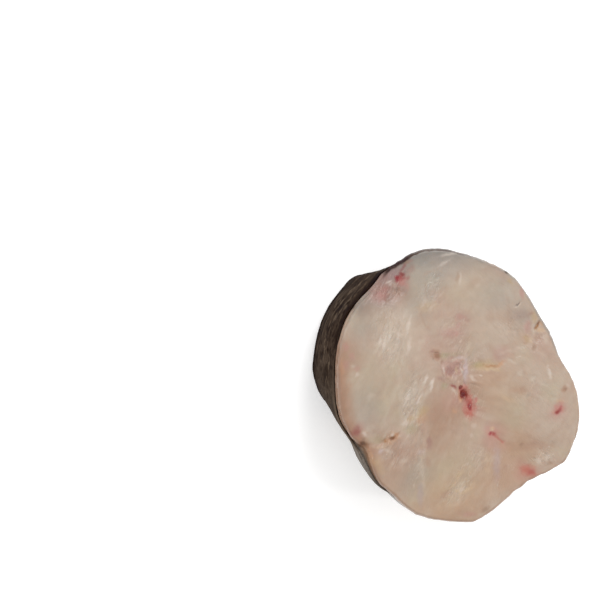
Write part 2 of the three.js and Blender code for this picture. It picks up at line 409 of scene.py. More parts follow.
washes = [                      # broad soft tones: x, y, length, width, turn, strength, tone
    (-10, -5.5, 15, 12, 0, 0.8, "umber"), (-15, -13, 16, 14, 40, 0.8, "umber"),
    (-17, -25, 22, 26, 0, 0.55, "sand"), (-22, -37, 26, 16, 40, 0.6, "sand"),
    (-27, -23, 16, 16, 0, 0.5, "moss"), (4, -32, 18, 20, 0, 0.75, "tan"),
    (-5, -40, 18, 12, -30, 0.6, "tan"), (11, -37, 14, 8, -40, 0.5, "tan"),
    (9, -9, 22, 16, -20, 0.75, "tan"), (14, -19, 12, 16, 0, 0.5, "sand"), (13, -24, 9, 9, 0, 0.5, "moss"),
    (-30, -34, 18, 20, 0, 0.6, "tan"), (-18, -40, 30, 12, 10, 0.5, "tan"),
    (-36, -14, 14, 10, 0, 0.4, "tan"), (-35, -4, 16, 18, 0, 0.5, "umber"),
    (-28, -8, 12, 14, 0, 0.4, "rose"), (-31, -18, 12, 10, 0, 0.45, "ash"),
    (-31, 14, 14, 10, 60, 0.55, "ash"), (-13, 38, 14, 8, 40, 0.6, "ash"),
    (-7, 45, 12, 7, 0, 0.8, "slate"), (20, 39, 22, 11, -28, 0.6, "mist"),
    (25, 43, 26, 5, -25, 0.4, "slate"), (34, 17, 16, 12, -40, 0.4, "mist"),
    (8, 34, 14, 12, 0, 0.4, "mist"), (2.6, 38.4, 9, 6, 0, 0.5, "umber"), (36, 5, 9, 8, 0, 0.4, "ash"),
    (-24, -31, 22, 14, -20, 0.35, "fawn"), (-23, 19, 16, 22, 40, 0.3, "moss"),
    (3, 4.5, 17, 19, 0, 0.6, "rose"), (1, -9, 10, 12, 0, 0.6, "umber"), (15.5, 17, 9, 7, 60, 0.6, "rose"),
    (11, 13.5, 6, 9, 0, 0.5, "rose"), (2, 18, 10, 10, 0, 0.3, "rose"), (37, -8, 8, 14, 0, 0.5, "rose"),
    (22, -2, 6, 5, 0, 0.3, "blush"), (30, 26, 20, 14, 0, 0.2, "moss"), (33, -33, 10, 14, 0, 0.3, "beige"),
    (-18, 3, 14, 5, 40, 0.45, "pearl"), (-14, 7, 9, 4, 40, 0.4, "pearl"),
    (-9, 28, 16, 7, 55, 0.4, "pearl"), (-22, -33, 9, 5, 25, 0.3, "pearl"),
    (12, -43, 7, 3.5, -25, 0.4, "pearl"), (5, 47, 9, 7, 0, 0.8, "lilac"),
    (-36, -2, 10, 12, 0, 0.4, "umber"), (-1, 42, 14, 10, 0, 0.7, "ash"), (2, 43, 13, 8, 0, 0.6, "mauve"),
    (-8.8, 45.2, 9, 5, 4, 0.6, "shade"), (-24, 33, 8, 12, -40, 0.5, "umber"),
    (7, -31, 7, 6, 0, 0.5, "tan"), (-38, 9, 5, 5, 0, 0.5, "blush"), (1.2, -8, 6, 11, 0, 0.5, "blush"),
    (2.2, -25, 8, 9, 0, 0.4, "blush"), (28, -32.4, 7, 6, 0, 0.4, "blush"),
    (5, -44.5, 9, 6, -60, 0.3, "pink"), (-3, -4, 7, 5, 0, 0.4, "blush"), (8, 46, 7, 5, 0, 0.4, "blush"),
    (-5.7, -4.2, 22, 13, 54, 0.3, "peach"), (-8.7, 41.9, 9, 7, 20, 0.3, "umber"),
    (-6, 45, 8, 5, 8, 0.3, "mauve"),
]

# the white marks among these are mostly painted wet glints, the rest pale strands
marks = [                       # smaller marks with soft rims, measured the same way
    # the vertebra and what lies round it
    (1.7, 15.6, 1, 0.8, -38, 0.6, "mauve"), (1.8, 13.1, 4, 2.8, -68, 0.85, "clay"),
    (1.9, 12.3, 1.6, 1, -60, 0.5, "bark"), (4.1, 11, 3, 2.1, -38, 0.6, "olive"),
    (7.4, 9.4, 5.4, 1.2, -38, 0.35, "olive"), (2.3, 10.1, 0.8, 0.8, 0, 0.5, "bark"),
    (4.5, 5.6, 8.2, 6.8, -38, 0.4, "blush"), (2.9, 5, 4, 3.2, -38, 0.75, "mauve"),
    (0.9, 7.2, 2.6, 0.6, 62, 0.5, "whiteAndGlint"), (4.8, 4, 2, 0.6, 60, 0.6, "fawn"),
    (6.3, 2.9, 2.4, 0.7, 56, 0.6, "whiteAndGlint"), (6, 8, 2.8, 0.7, -15, 0.4, "pearl"),
    (8.4, 6.9, 3.1, 0.7, -45, 0.4, "lavender"), (7.5, 1.6, 8, 1.5, 54, 0.75, "lavender"),
    (6.3, -1.7, 3, 1.2, 68, 0.45, "rose"), (14.6, -1.9, 9.4, 3.4, -40, 0.45, "honey"),
    (12.5, 0.5, 3.6, 1.8, -38, 0.5, "olive"), (16.3, -3.1, 4.2, 0.9, -38, 0.6, "rust"),
    (13.4, -0.8, 3.6, 1.2, -38, 0.4, "honey"), (14.8, -3.4, 5.6, 1.3, -38, 0.5, "fawn"),
    (14, -4.3, 5, 0.7, -38, 0.4, "umber"), (15.6, -1.4, 5, 0.6, -38, 0.35, "fawn"),
    (19.6, -4.8, 3.6, 0.9, 0, 0.65, "peel"), (21.4, -2.1, 4.2, 3.2, -38, 0.25, "mauve"),
    (11, -3.3, 0.8, 0.4, -38, 0.6, "whiteAndGlint"), (8.1, -2.4, 2.4, 0.7, -75, 0.5, "whiteAndGlint"),
    (5.6, -6.4, 4.6, 5.4, 0, 0.45, "peach"), (-1.8, 4.8, 3, 0.8, -66, 0.45, "mauve"),
    # the blood vessel below it
    (-2.3, 2.1, 2.2, 1.8, 0, 0.5, "olive"), (0.5, 0, 2.2, 0.8, -68, 0.6, "wine"),
    (-0.3, -1.9, 2.6, 0.7, 85, 0.5, "pearl"), (4, -3.6, 3, 1.6, 52, 0.6, "salmon"),
    (2.3, -3.4, 1.8, 1.6, 0, 0.7, "pink"), (2.4, -2.2, 1.2, 1.1, 0, 1, "blood"),
    (3.3, -6, 3.4, 1.8, 52, 0.5, "salmon"), (1.9, -5.1, 2.7, 2.6, 0, 1, "blood"),
    # the two peel marks on the pit's left are its pale lip, painted lighter as a highlight on its wet rim
    (0.2, -4.5, 3, 0.6, 60, 0.7, "peel"), (-0.1, -6.2, 2, 0.6, -20, 0.5, "peel"),
    (1.8, -7.8, 2.2, 1.6, -10, 0.45, "wine"), (0.8, -10.3, 6.4, 4, 52, 0.85, "salmon"),
    (1, -10.1, 2.8, 1.7, 52, 0.6, "crimson"), (1, -10.3, 1.9, 1.4, 48, 0.8, "wine"),
    (-1.2, -11.2, 2.6, 1.9, 40, 0.4, "salmon"), (4.3, -10, 1.1, 0.7, 54, 0.6, "pink"),
    (4.9, -10.8, 1, 0.6, 54, 0.5, "fawn"), (-4.7, -7.6, 1.5, 1.2, 0, 0.6, "peel"),
    # white strands left of it and on the upper left block; the thinnest white marks are painted wet glints
    (-6.4, 5, 4.4, 0.8, 38, 0.75, "whiteAndGlint"), (-7, 8.6, 3.2, 0.7, 34, 0.75, "whiteAndGlint"),
    (-5.7, 6.2, 2.6, 0.6, 30, 0.65, "whiteAndGlint"), (-11.9, 7, 4.6, 2.2, 15, 0.45, "pearl"),
    (-15.9, 5, 5.2, 2.6, 12, 0.45, "pearl"), (-17, 9, 4.4, 2.6, 22, 0.35, "pearl"),
    (-13.2, 4.2, 3.6, 0.6, 18, 0.65, "whiteAndGlint"), (-15.2, 8.2, 3.2, 0.6, 22, 0.65, "whiteAndGlint"),
    (-17.6, 6.4, 3.4, 0.6, 18, 0.5, "whiteAndGlint"), (-9.6, 4, 4.4, 1.1, 8, 0.35, "pearl"),
    (-14.6, -0.6, 4.4, 2.2, 4, 0.5, "honey"), (-19.4, 0.2, 2.8, 1.5, 4, 0.4, "honey"),
    (-11.7, 28.7, 3.9, 0.7, 44, 0.9, "whiteAndGlint"), (-11.8, 31.1, 3.3, 0.5, 38, 0.65, "whiteAndGlint"),
    (-8.6, 30, 3.7, 0.6, 36, 0.6, "whiteAndGlint"), (-10.4, 29.8, 10, 7, 20, 0.3, "pearl"),
    (-14.6, 29.6, 4.6, 1.9, 24, 0.3, "pearl"), (-5.1, 24.6, 17, 4.6, 42, 0.3, "pearl"),
    (-6.4, 27.2, 5.4, 0.7, 42, 0.55, "whiteAndGlint"), (-0.6, 28.4, 6, 0.8, 38, 0.5, "whiteAndGlint"),
    (-4.6, 22.6, 5.2, 0.8, 44, 0.5, "whiteAndGlint"), (-0.6, 20.2, 4.6, 1.8, 22, 0.35, "pearl"),
    # the side septum with its slit, and the rim beside it
    (-21.8, -2.6, 4.6, 2.6, -18, 0.45, "olive"), (-16.6, -2.4, 3.6, 2.8, -20, 0.4, "peel"),
    (-22, 0.3, 2.6, 0.9, -20, 0.4, "whiteAndGlint"), (-17.6, -5, 1.6, 3.6, -38, 0.4, "rose"),
    (-29.9, -1.3, 6.3, 2.5, -4, 0.55, "peel"), (-32.2, -0.7, 1.1, 0.9, 0, 0.7, "rust"),
    (-29.3, -1.3, 2.2, 0.3, -8, 0.8, "brown"), (-27.5, -1.4, 1.9, 0.7, -2, 0.6, "rust"),
    (-28.7, -0.5, 0.8, 0.7, 0, 0.7, "whiteAndGlint"), (-34.6, 2, 5.4, 2.6, -26, 0.45, "olive"),
    (-35.4, -1.2, 4.8, 0.7, -38, 0.4, "fawn"), (-39.2, 3.4, 3, 1.9, -50, 0.95, "brown"),
    (-39.2, 3.9, 1.6, 0.8, -50, 0.6, "black"), (-39, 3.6, 4.2, 3, -55, 0.35, "bark"),
    (-40, 0.8, 3.4, 2.2, 54, 0.7, "bark"), (-39.8, -5, 9, 2, 88, 0.35, "honey"),
    (-39, 9.1, 3.6, 2.9, 54, 0.6, "mauve"), (-39, 9, 3, 2.4, 0, 0.3, "wine"),
    (-36.8, 6.2, 2, 0.9, -80, 0.6, "whiteAndGlint"), (-36, 3.4, 5, 3.2, 88, 0.35, "pearl"),
    (-34, 6.8, 3.8, 1.5, -20, 0.3, "pearl"), (-35.9, -2.7, 1.6, 1.3, 0, 0.55, "lavender"),
    (-33.6, -3.9, 3, 0.9, -36, 0.45, "whiteAndGlint"), (-28.6, -7.8, 8.6, 3, -34, 0.35, "umber"),
    (-30.6, -10.5, 2.9, 1.4, -12, 0.45, "pearl"), (-19.3, -11.3, 3.4, 1.7, 52, 0.6, "mauve"),
    (-24.1, -12, 3, 1.8, -28, 0.35, "lavender"), (-27.2, -17, 10, 1.1, 62, 0.35, "pearl"),
    (-33.2, -25, 7.5, 1.9, 58, 0.35, "lilac"), (-24, -16.6, 3.2, 2, 54, 0.45, "umber"),
    (-40.2, -1.6, 6.4, 2, 70, 0.5, "peel"), (-42, -4.2, 1.3, 1.2, 0, 0.65, "bark"),
    (-38, -5.6, 4.6, 2, 80, 0.3, "fawn"), (-23.6, 36.3, 2.9, 2, 54, 0.4, "blush"),
    (-24.1, 32.3, 2.2, 1.8, 54, 0.4, "blush"), (-27.6, 31.2, 3.2, 2.3, 54, 0.35, "blush"),
    (-31.2, 30.3, 4.6, 1.1, 52, 0.5, "bark"), (-30, 30.8, 5.4, 1.5, 52, 0.4, "peel"),
    (-25.2, 27.8, 2.4, 2, 0, 0.35, "blush"), (-25.6, 29.3, 1.2, 1.1, 0, 0.45, "pearl"),
    (-26.2, 26, 1.3, 1.2, 0, 0.5, "whiteAndGlint"), (-27, 16.4, 3, 1.9, 4, 0.4, "pearl"),
    (-34.4, 22.6, 6, 2.3, 54, 0.4, "peach"), (-38.6, 17.4, 4.6, 2.2, 60, 0.35, "peach"),
    (-35, 19.4, 3, 1.8, 54, 0.3, "rose"),
    # the back
    (5.2, 47.6, 5.6, 3.4, -10, 0.6, "lilac"), (4.6, 47.8, 7, 3.2, -8, 0.45, "mauve"),
    (-1.4, 47.4, 9, 3.6, 16, 0.6, "mauve"), (6.8, 44.4, 2.1, 1.9, 0, 0.9, "crimson"),
    (8.8, 44.9, 1.8, 1.2, -30, 0.7, "wine"), (8.4, 43.6, 1.1, 0.9, 54, 0.5, "wine"),
    (7.6, 42.5, 2.9, 2.6, 54, 0.45, "pink"), (5.9, 42.4, 2.6, 1.9, 0, 0.35, "blush"),
    (12.7, 47.6, 1.6, 0.9, -12, 0.55, "bark"), (14.2, 47.1, 1.3, 0.9, -12, 0.5, "mauve"),
    (12.6, 44.6, 3.3, 1.9, 30, 0.4, "mauve"), (10.8, 46.6, 2.6, 0.8, 14, 0.4, "wine"),
    (9.9, 42.3, 1.6, 1, 54, 0.3, "wine"), (8, 40.6, 3.4, 1.6, 54, 0.35, "blush"),
    (3.5, 45.3, 2, 0.3, -8, 0.8, "whiteAndGlint"), (3.4, 44.2, 1, 0.6, 12, 0.55, "whiteAndGlint"),
    (-1.4, 43.7, 5.6, 4.6, 0, 0.65, "mauve"), (-1.6, 43.2, 3.4, 2.8, 0, 0.3, "pink"),
    (0.9, 43.2, 4, 1.1, 4, 0.6, "mauve"), (1, 44.3, 3.2, 2.4, 10, 0.6, "mauve"),
    (0.8, 44, 1.8, 1.4, 10, 0.25, "pink"), (3.1, 40.6, 3.7, 2.8, 54, 0.4, "rose"),
    (-5, 44.6, 3, 2.4, 0, 0.3, "blush"), (-7.3, 45.9, 4.6, 2.8, 0, 0.5, "ash"),
    (-11.7, 46.9, 2.6, 0.7, 50, 0.9, "black"),
    # the upper right flank and its rim
    (9.6, 29.7, 7.6, 3.2, -30, 0.45, "fawn"), (9.4, 32, 3, 0.8, 22, 0.35, "whiteAndGlint"),
    (10.4, 28.6, 2.8, 0.8, 8, 0.3, "whiteAndGlint"), (25.4, 30.8, 3.2, 0.9, 42, 0.35, "whiteAndGlint"),
    (24.8, 31.6, 3, 0.6, 42, 0.3, "bark"), (29.2, 24.4, 1.5, 0.9, 0, 0.35, "pearl"),
    (27.4, 40.2, 4.6, 0.6, -24, 0.55, "whiteAndGlint"), (24, 38.9, 5, 0.5, -8, 0.4, "whiteAndGlint"),
    (17.8, 18.9, 5.6, 2.8, -36, 0.2, "mauve"), (17.3, 19.2, 2.6, 1.2, -36, 0.35, "blush"),
    (18.7, 16.6, 1.6, 0.9, -60, 0.3, "mauve"), (14.8, 17.3, 1.8, 1, 20, 0.35, "blush"),
    (12.8, 15.1, 1.6, 1, 54, 0.3, "blush"), (11, 16.7, 7.2, 3, -36, 0.35, "blush"),
    (32.3, 7.6, 9.6, 5.4, -38, 0.2, "umber"), (39.6, 26, 6, 1.5, -62, 0.45, "peach"),
    (39.9, 24.5, 0.6, 0.4, 0, 0.6, "bark"), (41.3, 21.7, 1.2, 0.3, -60, 0.9, "black"),
    (40.6, 17.5, 3, 1.1, -75, 0.4, "honey"), (41.8, 11.6, 3.5, 1.3, 64, 0.5, "blush"),
    (38.1, 9.3, 1.1, 0.2, -4, 0.6, "black"), (37, 5.2, 7, 4.4, -34, 0.35, "ash"),
    (37.4, 5, 5.6, 3, -34, 0.2, "mauve"), (40.4, 3.4, 1.3, 1, 0, 0.45, "mauve"),
    (40.5, 1.4, 3.6, 1.9, 70, 0.45, "honey"), (41, -1.6, 1.7, 0.6, 24, 0.8, "brown"),
    (39.2, -2.4, 1.9, 0.6, 24, 0.85, "rust"), (39.9, -4.1, 2.9, 1.3, -34, 0.75, "fawn"),
    (41.6, -2.2, 1.6, 0.9, -70, 0.55, "peel"), (39.7, -8, 2.6, 1.5, 68, 0.45, "pearl"),
    (37.2, -5.6, 2.2, 1.9, 0, 0.4, "umber"), (36.3, 0, 4.4, 2.6, 66, 0.45, "blush"),
    (38, -2, 4.2, 0.9, 58, 0.45, "pearl"), (33.2, -2.7, 4, 2.8, 72, 0.5, "tan"),
    (33.4, -3.4, 2.6, 1.4, 72, 0.35, "honey"), (34.4, -4.6, 2.6, 1.3, 66, 0.45, "fawn"),
    (33.8, -7.4, 1.9, 1, 62, 0.6, "bark"), (23.8, -11.9, 2.4, 1.3, -14, 0.55, "pearl"),
    (26.2, -16.7, 2, 1.2, -14, 0.55, "pearl"), (33, -19.2, 4.6, 0.8, 68, 0.6, "whiteAndGlint"),
    (28.3, -20, 5.4, 1, -71, 0.35, "pearl"), (24.6, -23.2, 4.2, 0.8, -62, 0.35, "pearl"),
    (14.2, -16.5, 5.4, 1.1, -58, 0.35, "fawn"), (23.6, -6.7, 4.6, 0.8, -58, 0.35, "pearl"),
    (19.4, -16.8, 6.4, 2.2, -34, 0.25, "clay"), (21.8, -20.7, 1.3, 0.9, 0, 0.45, "ash"),
    (24.3, -2.6, 6.2, 1.1, -26, 0.3, "pearl"),
    # the right block
    (34.5, -27.9, 2.3, 1.5, -14, 0.5, "clay"), (34.6, -28.3, 1, 0.8, 0, 0.5, "bark"),
    (35.9, -27.7, 1.2, 1.1, 0, 0.3, "whiteAndGlint"), (30.4, -30.4, 4.6, 0.7, -38, 0.45, "fawn"),
    (28.6, -28.4, 2, 0.7, -38, 0.4, "pearl"), (28.2, -32.2, 4.8, 2.6, 14, 0.55, "pink"),
    (27.3, -32.9, 1.7, 1, 0, 0.75, "wine"), (29.1, -32.3, 1.2, 0.7, 40, 0.35, "crimson"),
    (29.3, -31.3, 1.9, 1.3, 54, 0.4, "blush"),
    # below the blood vessel
    (2.1, -23.4, 4, 3.2, -60, 0.4, "pink"), (1.7, -23.2, 1, 0.8, 0, 0.7, "crimson"),
    (2.6, -24.4, 1.3, 0.6, -70, 0.5, "crimson"), (3, -22.3, 1.5, 1.3, 0, 0.7, "fawn"),
    (1.4, -20.4, 3, 0.9, -2, 0.3, "blush"), (2.9, -27, 3.9, 0.4, -80, 0.45, "salmon"),
    (3.4, -28.8, 1.2, 0.8, 0, 0.3, "salmon"), (-1.8, -16.9, 1.5, 1.4, 0, 0.25, "whiteAndGlint"),
    (-5.2, -19.3, 1.1, 0.9, 0, 0.25, "whiteAndGlint"), (-3, -34, 11, 2.6, 56, 0.4, "lilac"),
    (-6.1, -32, 9, 2.2, 54, 0.3, "fawn"), (8.8, -34.2, 1.6, 1, -28, 0.6, "bark"),
    (12.2, -37.8, 14, 2.4, -32, 0.45, "umber"), (13.8, -37.4, 4.6, 1, -38, 0.35, "umber"),
    (10.6, -43.4, 2, 1.4, 20, 0.4, "whiteAndGlint"), (14.2, -44.5, 2, 1.3, 20, 0.4, "whiteAndGlint"),
    (5.4, -44.2, 5.8, 3, -62, 0.65, "salmon"), (6, -45.2, 2.4, 1.2, -62, 0.2, "crimson"),
    (-1, -37.6, 2.2, 1.8, 54, 0.5, "umber"), (13.4, -47, 2.7, 1.1, -12, 0.45, "bark"),
    (-16.4, -45.4, 2.7, 1.1, -10, 0.45, "bark"), (-17.2, -28, 3.4, 0.9, 20, 0.65, "fawn"),
    (-21.9, -29.7, 3.2, 0.8, 12, 0.75, "fawn"), (-21.1, -32.3, 1.8, 0.7, -14, 0.7, "fawn"),
    (-18.3, -34.8, 4.2, 0.8, -8, 0.75, "fawn"), (-19.4, -33.2, 3, 0.5, 6, 0.5, "whiteAndGlint"),
    (-25.6, -30.8, 4.4, 2.2, -16, 0.4, "umber"), (-15.4, -33.8, 2.2, 0.8, 4, 0.35, "fawn"),
    (-22.4, -42.8, 5.6, 1.4, -44, 0.35, "blush"), (-36.2, -28.6, 6, 1.9, -66, 0.3, "tan"),
]


def blockHeight(points):
    # height of the upper face above its plane: muscle blocks, less the septa and the notch at the back
    x, y = points[..., 0], points[..., 1]
    height = sum(h * bell(np.hypot(x - bx, y - by), w) for bx, by, w, h in face["blocks"])
    across = x - steak["spine"][0]
    sideSeptum = bell(y - face["septumMiddle"] - face["septumTilt"] * across, face["septumWidth"])
    middleSeptum = bell(across, face["septumWidth"])
    nx, ny, nw, nd = face["backNotch"]
    return (height - face["septumDepth"] * np.maximum(sideSeptum, middleSeptum)
            - nd * bell(np.hypot(x - nx, y - ny), nw))


def flattened(points):
    # the same points at height 0 and measured from the marks' origin
    flat = points.copy()
    flat[..., :2] -= steak["markOrigin"]
    flat[..., 2] = 0
    return flat


def drifted(flat, cell, seed, reach):
    # points moved about by noise, so that drawn shapes get uneven rims
    x, y = cloud(flat, cell, seed, 2), cloud(flat, cell, seed + 7, 2)
    return flat + reach * np.stack([x, y, 0 * x], -1)


def oval(flat, x, y, length, width, turn, soft):
    # 1 inside an oval and 0 outside; its rim fades over the share soft of its size
    u, v = alongAxes(flat, x, y, turn)
    return ease(1 + soft, 1 - soft, np.hypot(2 * u / length, 2 * v / width))


def tornness(flat):
    # how torn the cut is: patches with very uneven rims
    moved = drifted(flat, 5, 61, 2.4)
    clear = 1.0
    for x, y, length, width, turn, strength in face["torn"]:
        clear = clear * (1 - strength * oval(moved, x, y, length, width, turn, face["tornRim"]))
    return (1 - clear) * (0.65 + 0.35 * cloud(flat, 2.5, 63, 2))


def strokes(flat, long, wide, seed):
    # noise drawn out along the fibres, whose ways pass into each other
    bend = drifted(flat, 9, 51, 2.2)
    total, power = 0, 0
    for i, (x, y, turn) in enumerate(face["fibres"]):
        share = bell(np.hypot(flat[..., 0] - x, flat[..., 1] - y), face["fibreReach"]) + 1e-6
        u, v = alongAxes(bend, x, y, turn)
        drawn = np.stack([u, v, np.full_like(u, i)], -1)
        total = total + share * cloud(drawn, (long, wide, 1), seed + 3 * i, 2)
        power = power + share ** 2
    return total / np.sqrt(power)


def flakeLines(flat):
    # 1 on the thin walls between flakes, which are arcs round each muscle block, bent by noise
    x, y = flat[..., 0], flat[..., 1]
    away = [np.hypot(x - bx, (y - by) * 0.85) for bx, by, _, _ in face["blocks"]]
    away = np.min(away, 0) + 3.0 * cloud(flat, 10, 31, 3)
    line = bell(np.abs((away / face["flakeStep"]) % 1 - 0.5) * face["flakeStep"], 0.4)
    return line * ease(0.0, 0.5, cloud(flat, 7, 35, 2))


def cutRelief(points):
    # fine height of a cut face: lumps, knife strokes that are deeper where the flesh is torn, flake walls
    # and the grooves
    flat = flattened(points)
    torn = tornness(flat)
    height = face["lumpHeight"] * cloud(flat, 8, 71, 3)
    height = height + strokes(flat, 4.5, 1.4, 41) * (face["strokeHeight"] + face["tornHeight"] * torn)
    height = height - face["flakeDepth"] * flakeLines(flat)
    moved = drifted(flat, 2.5, 81, 0.5)
    for start, end, width, depth in face["grooves"]:
        height = height - depth * bell(toSegment(moved, start, end), width)
    return height


def layered(colour, layers, palette=tones):
    # display colours with layers over them, each a tone of the palette and its share at every point
    for name, share in layers:
        colour = colour + share[..., None] * (np.array(palette[name], float) - colour)
    return colour


def groundColour(points):
    # display colour of the cut face under its marks: mottling, broad washes, strands where it is torn, with
    # painted wet glints on them
    flat = flattened(points)
    moved = drifted(flat, 6, 521, 2.2)
    torn = tornness(flat)
    strand = strokes(flat, 5.5, 1.5, 531)
    mottling = [("moss", 0.5 * ease(0, 0.6, cloud(flat, 11, 501, 3))),
                ("rose", 0.5 * ease(0, 0.6, cloud(flat, 9, 511, 3)))]
    broad = [(name, strength * oval(moved, x, y, length, width, turn, face["washRim"]))
             for x, y, length, width, turn, strength, name in washes]
    fine = [("pearl", 0.25 * ease(0, 0.6, strokes(flat, 8, 3.4, 581))),
            ("umber", 0.2 * ease(0, 0.6, strokes(flat, 7, 3, 591))),
            ("pearl", ease(0, 0.6, strand) * (0.08 + 0.7 * torn)),
            ("umber", ease(0.05, 0.6, -strand) * (0.05 + 0.45 * torn)),
            # painted wet glints, white, on the torn patches
            ("whiteAndGlint", ease(0.25, 0.7, strokes(flat, 2.6, 0.8, 601)) * 0.7 * torn),
            ("umber", 0.16 * flakeLines(flat))]
    ground = np.broadcast_to(np.array(tones["beige"], float), points.shape)
    return layered(ground, mottling + broad + fine)


def markedColour(colour, points):
    # The same with the marks painted over it, one after the other. Also gives how matt each point is,
    # because blood and dark cracks mirror less than wet flesh.
    flat = flattened(points)
    matt = np.zeros(points.shape[:-1])
    moved = drifted(drifted(flat, 2.0, 551, 0.6), 0.9, 561, 0.25)
    rough = face["markRagged"] * cloud(flat, 1.0, 571, 2)
    grow = face["markGrow"]
    for x, y, length, width, turn, strength, name in marks:
        u, v = alongAxes(moved, x, y, turn)
        away = np.hypot(2 * u / (length + grow), 2 * v / (width + grow)) + rough
        share = strength * ease(*face["markRim"], away)
        colour = layered(colour, [(name, share)])
        if name in ("blood", "wine", "brown", "black"):
            matt = np.maximum(matt, share)
    return colour, matt


def paintPiece(piece, colour, veil):
    # Puts colours on the piece's points for its finish: the base colours that show as these display colours
    # in this scene's light and behind a veil of mirrored sky.
    colour = colour.reshape(-1, 3)
    count = len(piece.data.vertices)             # an open body has two middle points more, which shut it
    colour = np.concatenate([colour, colour[[0, -1]]])[:count]
    values = np.ones((count, 4), np.float32)
    values[:, :3] = stage["toneShare"] * np.maximum(linearised(colour) - veil, stage["darkest"])
    piece.data.attributes.new("tone", "FLOAT_COLOR", "POINT").data.foreach_set("color", values.ravel())


# the flesh

flesh = {
    "around": 660,              # points round the steak
    "faceRings": 112,
    "edgeRagged": 0.34,         # mm, how uneven the outline is
    "swells": [                 # bearing, width in degrees and mm by which the outline stands out or in
        (62, 7, 0.5), (72, 5, 0.7), (88, 3, -0.8), (169, 4, 0.7), (178, 4, -0.9), (265, 1.6, -0.4),
        (270, 1.6, 0.4), (291, 2, 0.4), (300, 1.6, -0.25)],
    "edgeRound": 1.3,           # mm, the rounding of the upper edge
    "lipInset": 0.3,            # mm between the skin's surface and the lip of the flesh over its cut edge
    "hidden": 1.0,              # mm, how far behind the skin the side lies
    "footInset": 0.7,           # mm, how far the foot lies inside its solid, behind the skin's lower edge
    "clasp": 0.25,              # mm, how far it closes in on the backbone, so that no gap shows
    "bandWidth": 4.6,           # mm, the tan band of surface muscle under the skin of the flank...
    "bandMiddle": (150, 22),    # ...its middle and spread in degrees
    # stretches of the outline, by the four bearings between which they come up and fade
    "drawnIn": (86, 94, 196, 206),      # the flesh has drawn in, so the skin's cut edge shows
    "ledge": (167, 174, 198, 208),      # a step out to the skin, from the side septum's end down
    "flank": (117, 127, 190, 215),      # the tan band
    "flankEdge": (117, 127, 185, 195),  # its reddish rim
    "notch": (179, 4.5, 1.7),   # bearing, width in degrees and mm of the lip's notch at the septum's end
}


def fleshRings():
    # The flesh as rings of points, closed on itself: out over the upper face, round its edge, down behind
    # the skin, in under the foot and up the backbone's channel. Also gives how far each point lies from
    # the edge and how far in from the lip over the skin, and the bearings.
    bearing = bearings(flesh["around"])
    rimPoints = raised(polar(meanRadius, bearing), 0)
    ragged = flesh["edgeRagged"] * (cloud(rimPoints, 5, 91, 3) + 0.5 * cloud(rimPoints, 1.6, 92))
    swells = sum(size * bell(awayFrom(bearing, at), wide) for at, wide, size in flesh["swells"])
    edge = polar(roundCurve(edgeRing, bearing) + ragged + swells, bearing)
    channel = polar(roundCurve(spineRing, bearing) - flesh["clasp"], bearing, steak["spine"])
    reach = np.linalg.norm(edge - channel, axis=-1)
    turnPoint = 1 - flesh["edgeRound"] / reach
    rings, toEdge = [], []

    def ring(places, level):
        rings.append(raised(places, level))
        toEdge.append(np.linalg.norm(edge - places, axis=-1))

    def across(share):
        return channel + (edge - channel) * share[..., None]

    drop = steak["faceLevel"] - steak["edgeLevel"]
    for share in np.linspace(0, 1, flesh["faceRings"]):
        places = across(turnPoint * share)
        ring(places, steak["faceLevel"] + blockHeight(places))
    shoulder = blockHeight(across(turnPoint))
    for turn in np.radians(np.linspace(0, 90, 15)[1:]):
        places = across(1 - (1 - turnPoint) * (1 - math.sin(turn)))
        ring(places, steak["edgeLevel"] + (drop + shoulder) * math.cos(turn))
    top, bottom = steak["skinLevels"][-1], steak["skinLevels"][0]
    wall = wallRadius(bearing, top)
    overhang = ease(0.6, 0.0, wall - np.linalg.norm(edge, axis=-1))
    notch, notchWidth, notchDepth = flesh["notch"]
    inset = flesh["lipInset"] * (1 + 0.9 * between(bearing, *flesh["drawnIn"]))
    inset = inset + notchDepth * bell(awayFrom(bearing, notch), notchWidth)
    lip = wall - inset - 0.15 * cloud(rimPoints, 2.0, 95)
    for share in (0.35, 0.7, 1.0):               # over the skin the lip rounds in, elsewhere it runs out
        radius = np.linalg.norm(edge, axis=-1)
        radius = radius + (lip - radius) * np.where(radius > lip, share ** 2, share)
        ring(polar(radius, bearing), steak["edgeLevel"] - 0.5 * share * (0.6 + 0.4 * overhang))
        toEdge[-1] = np.zeros(len(bearing))
    ledge = between(bearing, *flesh["ledge"])
    for level in (top - 0.9 + 0.8 * ledge, *np.linspace(top - 1.8, bottom + 0.4, 4)):
        hidden = flesh["hidden"] * (1 - 0.75 * ledge * (np.mean(level) > top - 1.2))
        ring(polar(wallRadius(bearing, np.mean(level)) - hidden, bearing), level)
    foot = roundCurve(footRing, bearing) - flesh["footInset"]
    for turn in np.radians(np.linspace(0, 90, 6)):
        inset = steak["flatInset"] * (1 - math.cos(turn))
        ring(polar(foot - inset, bearing), (1 - math.sin(turn)) * steak["footLevel"])
    inner = polar(foot - steak["flatInset"], bearing)
    for share in np.linspace(0, 1, 8)[1:]:
        ring(inner + (channel - inner) * share, 0.0)
    for level in (4, 28):
        ring(channel, level)
    rings = np.array(rings)
    return rings, np.array(toEdge), lip - np.hypot(rings[..., 0], rings[..., 1]), bearing


